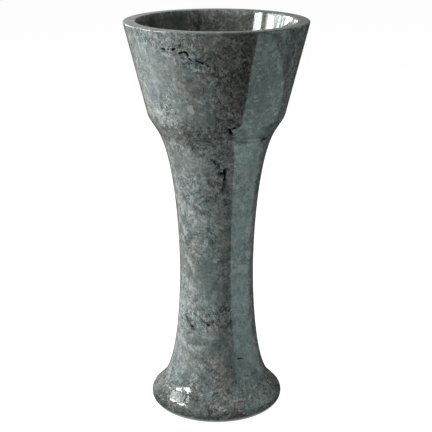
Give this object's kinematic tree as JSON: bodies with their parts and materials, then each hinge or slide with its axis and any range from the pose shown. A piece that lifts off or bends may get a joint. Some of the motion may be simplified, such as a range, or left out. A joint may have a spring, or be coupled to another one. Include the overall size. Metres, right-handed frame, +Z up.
{
  "type": "stone pedestal planter",
  "caption": "Round polished stone pedestal planter: conical bowl with a flat rim on a waisted column and a bulbous foot, with a drain and lift-out strainer inside.",
  "frame": {"origin": "on the floor, on the axis of rotation, under the middle of the floor pads", "axes": "+Z up along the axis of rotation, +Y towards the back; the object is round, so front is a choice"},
  "size_m": [0.4096, 0.4096, 0.9],
  "materials": {
    "stone": "polished",
    "resin": "matte",
    "steel": "satin",
    "brass": "satin",
    "rubber": "matte",
    "pipe_plastic": "matte"
  },
  "bodies": {
    "pedestal": {"bowl": "stone", "column": "stone", "foot": "stone", "bowl_bed": "resin", "foot_bed": "resin", "bowl_dowels": "steel", "foot_dowels": "steel", "drain_flange": "brass", "flange_gasket": "rubber", "under_gasket": "rubber", "drain_washer": "brass", "drain_locknut": "brass", "slip_seal": "rubber", "slip_nut": "pipe_plastic", "drain_pipe": "pipe_plastic", "pipe_guide": "pipe_plastic", "floor_pads": "rubber"},
    "strainer": {"drain_strainer": "brass", "strainer_pull": "brass"}
  },
  "joints": [
    {"name": "strainer_lift", "type": "slide", "parent": "pedestal", "child": "strainer", "axis": [0, 0, 1], "range_m": [0, 0.24]}
  ]
}
